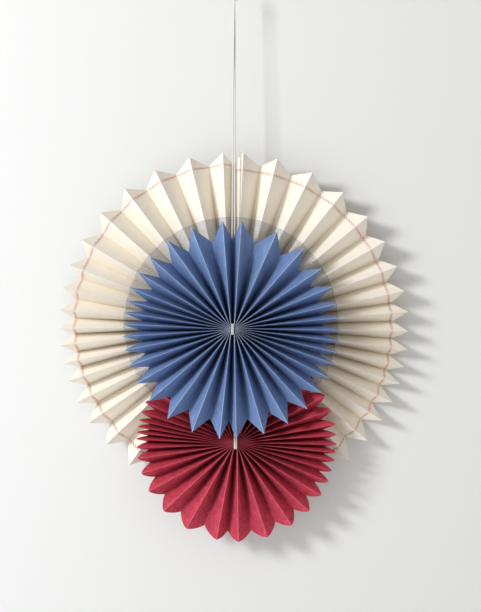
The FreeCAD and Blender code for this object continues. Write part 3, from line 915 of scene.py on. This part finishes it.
def paper_material(name, printed=False):
    """Matt coloured paper with fibres along its pleats, worn folds with a painted highlight on the front ones
    and at the hub, and painted shade towards the back folds.
    """
    settings = bpy.context.scene.rosette_set
    sizes, look = getattr(settings, name), PAPER_LOOKS[name]
    full_name = name + ("_printed_paper" if printed else "_paper")
    material, tree, shader = new_material(full_name, roughness=0.82, Specular_IOR_Level=0.25)
    place = add_node(tree, "ShaderNodeUVMap", {"uv_map": "UVMap"}).outputs[0]
    fibre, cloud = place_group(tree, "Paper Fibres", fibre_group, Place=place,
                               Fibre_Width=look["fibre"][0] * MM, Fibre_Length=look["fibre"][1] * MM)
    front, back, valley, near_hub = place_group(
        tree, "Crease Wear", crease_group, Place=place,
        Pleat_Width=sizes.pleat_width, Wear_Width=look["wear_width"] * MM)
    paper, crease = tuple(sizes.paper_colour), tuple(sizes.crease_colour)
    dull, bright = shaded(paper, 1.0 - look["streak"]), shaded(paper, 1.0 + look["streak"])
    colour = mix_colours(tree, fibre, dull, bright)
    colour = mix_colours(tree, cloud * look["cloud"] * 2.0, colour, shaded(paper, CLOUD_SHADE))
    if printed:
        position = add_node(tree, "ShaderNodeTexCoord").outputs["Object"]
        hub = CENTRES[name]
        dots, ground = place_group(tree, "Printed Mesh", print_group, Place=place, Position=position,
                                   Hub_X=hub.x, Hub_Z=hub.z, Radius=settings.print_radius,
                                   Pitch=settings.print_pitch)
        colour = mix_colours(tree, ground * GROUND_COVER, colour, PRINT_GROUND)
        colour = mix_colours(tree, dots, colour, tuple(settings.print_colour))
    # Painted shade towards the back folds, strongest near the hub.
    colour = mix_colours(tree, valley * look["depth"], colour, look["valley"])
    # Front folds: worn paper and a painted highlight, near white at the hub; back folds: wear only.
    worn = mix_colours(tree, near_hub, crease, look["hub_painted_highlight"])
    colour = mix_colours(tree, front * look["wear"], colour, worn)
    colour = mix_colours(tree, back * (look["wear"] * BACK_WEAR), colour, crease)
    tree.links.new(colour, shader.inputs["Base Color"])
    raise_surface(tree, shader, fibre, look["relief"] * MM)
    return material


def thread_material(name, colour, fibre_size, roughness=0.9):
    """Spun cotton: short fibres, their size in millimetres, and a little unevenness."""
    material, tree, shader = new_material(name, roughness, Specular_IOR_Level=0.2)
    position = add_node(tree, "ShaderNodeTexCoord").outputs["Object"]
    hairs = noise(tree, position, scale=1.0 / (fibre_size * MM), detail=4.0, roughness=0.7)
    spun = mix_colours(tree, within(hairs, 0.3, 0.7), shaded(colour, 0.8), shaded(colour, 1.06))
    tree.links.new(spun, shader.inputs["Base Color"])
    raise_surface(tree, shader, hairs, 0.12 * MM)
    return material


# Machine stitch

STITCH_LIFTS = {"Right": -2.0 * MM, "Left": 4.0 * MM}  # how much further from the hub it runs at the top
SEWING_THREAD_DIAMETER = 0.46 * MM
SEWING_THREAD_SIDES = 6


def stitch_tree():
    """A zigzag of thread that follows the pleats at its own distance from the hub."""
    own = (sockets("Float", "Stitch Radius Right", "Stitch Radius Left", "Stitch Lift Right",
                   "Stitch Lift Left", "Stitch Width", "Thread Diameter")
           + sockets("Int", "Steps Per Pleat", "Thread Sides") + sockets("Material", "Thread"))
    tree, given = new_tree("Zigzag Stitch", SHEET_INPUTS + own)
    joined = add_node(tree, "GeometryNodeJoinGeometry")
    for side in SIDES:
        sheet = PleatedSheet(tree, given, side)
        steps = given["Steps Per Pleat"]
        line = add_node(tree, "GeometryNodeMeshLine", Count=sheet.folds * 2.0 * steps + 1.0)
        column = sheet.place / steps
        swing = (sheet.place % 2.0 - 0.5) * given["Stitch Width"]
        x, y, z = sheet.point_at(column, given[f"Stitch Radius {side}"] + swing, given[f"Stitch Lift {side}"])
        shaped = add_node(tree, "GeometryNodeSetPosition", Geometry=line.outputs[0],
                          Position=sheet.placed(x, y, z))
        run = add_node(tree, "GeometryNodeMeshToCurve", Mesh=shaped.outputs[0])
        ring = add_node(tree, "GeometryNodeCurvePrimitiveCircle", Resolution=given["Thread Sides"],
                        Radius=given["Thread Diameter"] * 0.5)
        tube = add_node(tree, "GeometryNodeCurveToMesh", Curve=run.outputs[0],
                        Profile_Curve=ring.outputs[0], Fill_Caps=True)
        tree.links.new(tube.outputs[0], joined.inputs[0])
    smooth = add_node(tree, "GeometryNodeSetShadeSmooth", Geometry=joined.outputs[0], Shade_Smooth=True)
    finish_tree(tree, smooth.outputs[0], given["Thread"])
    return tree


# Stage

WALL_Y, WALL_TOP, WALL_HALF_WIDTH = 0.0295, 2.0, 3.0
FLOOR_Z, FLOOR_FRONT = -0.70, -4.0
CAMERA_PLACE = (0.006, -1.3, -0.318)
LENS, SENSOR = 76.5, 36.0
LAMP_TARGET = Vector((0.0, 0.0, -0.34))
LAMP_FROM = Vector((-1.68, -1.44, 0.72))  # as seen from its target


def make_backdrop(scene):
    """A pale wall that meets a pale floor; both are clear from behind."""
    half = WALL_HALF_WIDTH
    corners = [(-half, WALL_Y, WALL_TOP), (half, WALL_Y, WALL_TOP), (half, WALL_Y, FLOOR_Z),
               (-half, WALL_Y, FLOOR_Z), (half, FLOOR_FRONT, FLOOR_Z), (-half, FLOOR_FRONT, FLOOR_Z)]
    mesh = bpy.data.meshes.new("backdrop")
    mesh.from_pydata(corners, [], [(0, 3, 2, 1), (3, 5, 4, 2)])
    backdrop = bpy.data.objects.new("backdrop", mesh)
    scene.collection.objects.link(backdrop)
    material, tree, shader = new_material("pale_backdrop", roughness=1.0)
    shader.inputs["Base Color"].default_value = (*screen_colour(244, 245, 246), 1.0)
    facing = add_node(tree, "ShaderNodeNewGeometry")
    clear = add_node(tree, "ShaderNodeBsdfTransparent")
    mix = add_node(tree, "ShaderNodeMixShader")
    for slot, socket in zip(mix.inputs, (facing.outputs["Backfacing"], shader.outputs[0], clear.outputs[0])):
        tree.links.new(socket, slot)
    tree.links.new(mix.outputs[0], tree.nodes["Material Output"].inputs["Surface"])
    mesh.materials.append(material)


def make_light(scene):
    """Soft warm light from all round, and one lamp from the upper left."""
    world = bpy.data.worlds.new("soft_room")
    scene.world = world
    world.use_nodes = True
    room = world.node_tree.nodes["Background"]
    room.inputs["Color"].default_value = (1.0, 0.95, 0.87, 1.0)
    room.inputs["Strength"].default_value = 0.44

    lamp_data = bpy.data.lights.new("key", "AREA")
    lamp_data.energy = 32.0
    lamp_data.color = (0.97, 0.99, 1.0)
    lamp_data.size = 0.45
    lamp = bpy.data.objects.new("key", lamp_data)
    scene.collection.objects.link(lamp)
    lamp.location = LAMP_TARGET + LAMP_FROM
    lamp.rotation_euler = (-LAMP_FROM).to_track_quat("-Z", "Y").to_euler()


def make_camera(scene):
    """Straight in front, as the photo was taken."""
    camera_data = bpy.data.cameras.new("camera")
    camera_data.lens = LENS
    camera_data.sensor_width = SENSOR
    camera = bpy.data.objects.new("camera", camera_data)
    scene.collection.objects.link(camera)
    camera.location = CAMERA_PLACE
    camera.rotation_euler = (math.pi / 2.0, 0.0, 0.0)
    scene.camera = camera


class ROSETTE_OT_papers(bpy.types.Operator):
    """Fold and fan the three paper rosettes"""
    bl_idname = "rosette.papers"
    bl_label = "Make Paper Rosettes"

    def execute(self, context):
        for name in ROSETTE_SIZES:
            plain = paper_material(name)
            if name == "cream":
                make_rosette(name, paper_material(name, printed=True), plain)
            else:
                make_rosette(name, plain, None)
        return {"FINISHED"}


class ROSETTE_OT_stitch(bpy.types.Operator):
    """Sew the zigzag round the cream rosette"""
    bl_idname = "rosette.stitch"
    bl_label = "Make Stitched Line"

    def execute(self, context):
        settings = context.scene.rosette_set
        thread = thread_material("sewing_thread", tuple(settings.stitch_colour), fibre_size=0.3,
                                 roughness=0.6)
        values = sheet_values("cream", settings.cream)
        values.update({
            "Stitch Radius Right": settings.stitch_radius_right,
            "Stitch Radius Left": settings.stitch_radius_left, "Stitch Width": settings.stitch_width,
            "Stitch Lift Right": STITCH_LIFTS["Right"], "Stitch Lift Left": STITCH_LIFTS["Left"],
            "Steps Per Pleat": round(settings.cream.pleat_width / settings.stitch_length),
            "Thread Diameter": SEWING_THREAD_DIAMETER, "Thread Sides": SEWING_THREAD_SIDES,
            "Thread": thread})
        piece = mesh_from_tree("stitched_line", stitch_tree(), values)
        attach(piece, "root")
        return {"FINISHED"}


class ROSETTE_OT_string(bpy.types.Operator):
    """Hang the doubled string with its knot and loop"""
    bl_idname = "rosette.string"
    bl_label = "Make String"

    def execute(self, context):
        cotton = thread_material("cotton_string", tuple(context.scene.rosette_set.string_colour),
                                 fibre_size=0.5)
        knot, _ = make_string("string_knot", knot_points(), "top_knot", cotton)
        loop, _ = make_string("string_loop", [metres(*point) for point in LOOP_ROUTE], "hanging_loop", cotton)
        for side, route in STRAND_ROUTES.items():
            points = [metres(*point) for point in route]
            strand, path = make_string(side + "_strand", points, "string_" + side, cotton)
        return {"FINISHED"}


class ROSETTE_OT_ties(bpy.types.Operator):
    """Wind the thread and the string that hold the three hubs"""
    bl_idname = "rosette.ties"
    bl_label = "Make Ties"

    def execute(self, context):
        white = thread_material("tie_thread", screen_colour(250, 250, 252), fibre_size=0.35)
        cotton = thread_material("tie_string", tuple(context.scene.rosette_set.string_colour),
                                 fibre_size=0.5)
        make_tie("blue", 2, THREAD_DIAMETER, snug_front("blue", THREAD_DIAMETER), white)
        make_tie("red", 2, STRING_DIAMETER, snug_front("red", STRING_DIAMETER), cotton)
        string_y = STRING_PLANE_AT_BLUE * MM - CENTRES["cream"].y
        make_tie("cream", 1, THREAD_DIAMETER, string_y, white)
        return {"FINISHED"}


class ROSETTE_OT_stage(bpy.types.Operator):
    """Set up the pale wall and floor, the lamp and the camera"""
    bl_idname = "rosette.stage"
    bl_label = "Make Stage"

    def execute(self, context):
        make_backdrop(context.scene)
        make_light(context.scene)
        make_camera(context.scene)
        context.scene.view_settings.view_transform = "Standard"
        return {"FINISHED"}


class ROSETTE_PT_panel(bpy.types.Panel):
    """Sizes, colours and the steps that make the set"""
    bl_idname = "ROSETTE_PT_panel"
    bl_label = "Paper Fan Rosettes"
    bl_space_type = "VIEW_3D"
    bl_region_type = "UI"
    bl_category = "Rosettes"

    def draw(self, context):
        settings = context.scene.rosette_set
        for name in ROSETTE_SIZES:
            box = self.layout.box()
            box.label(text=name.title())
            sizes = getattr(settings, name)
            for field in ("folds_per_half", "pleat_width", "edge_bulge", "lean", "paper_colour",
                          "crease_colour"):
                box.prop(sizes, field)
        for field in ("unevenness", "steps_across", "steps_out", "stitch_radius_right", "stitch_radius_left",
                      "stitch_width", "stitch_length", "stitch_colour", "string_colour", "print_colour",
                      "print_radius", "print_pitch"):
            self.layout.prop(settings, field)
        for step in OPERATORS:
            self.layout.operator(step.bl_idname)


OPERATORS = (ROSETTE_OT_papers, ROSETTE_OT_stitch, ROSETTE_OT_string, ROSETTE_OT_ties, ROSETTE_OT_stage)
CLASSES = (HalfFanSizes, RosetteSizes, RosetteSetSettings) + OPERATORS + (ROSETTE_PT_panel,)


def register():
    for cls in CLASSES:
        bpy.utils.register_class(cls)
    bpy.types.Scene.rosette_set = PointerProperty(type=RosetteSetSettings)


def unregister():
    del bpy.types.Scene.rosette_set
    for cls in reversed(CLASSES):
        bpy.utils.unregister_class(cls)


def load_sizes(settings):
    """Fill the properties with this set's sizes."""
    for name, sizes in ROSETTE_SIZES.items():
        target = getattr(settings, name)
        target.folds_per_half = sizes["folds_per_half"]
        target.lean = sizes["lean"]
        for field in ("pleat_width", "edge_bulge", "hub_half_width", "hub_half_height"):
            setattr(target, field, sizes[field] * MM)
        target.paper_colour = sizes["paper_colour"]
        target.crease_colour = sizes["crease_colour"]
        for side in ("right", "left"):
            for field, value in zip(FAN_FIELDS, sizes[side]):
                setattr(getattr(target, side), field, value * MM if field in FAN_LENGTHS else value)


def main():
    register()
    load_sizes(bpy.context.scene.rosette_set)
    bpy.ops.rosette.string()
    bpy.ops.rosette.papers()
    bpy.ops.rosette.stitch()
    bpy.ops.rosette.ties()
    bpy.ops.rosette.stage()


if __name__ == "__main__":
    main()
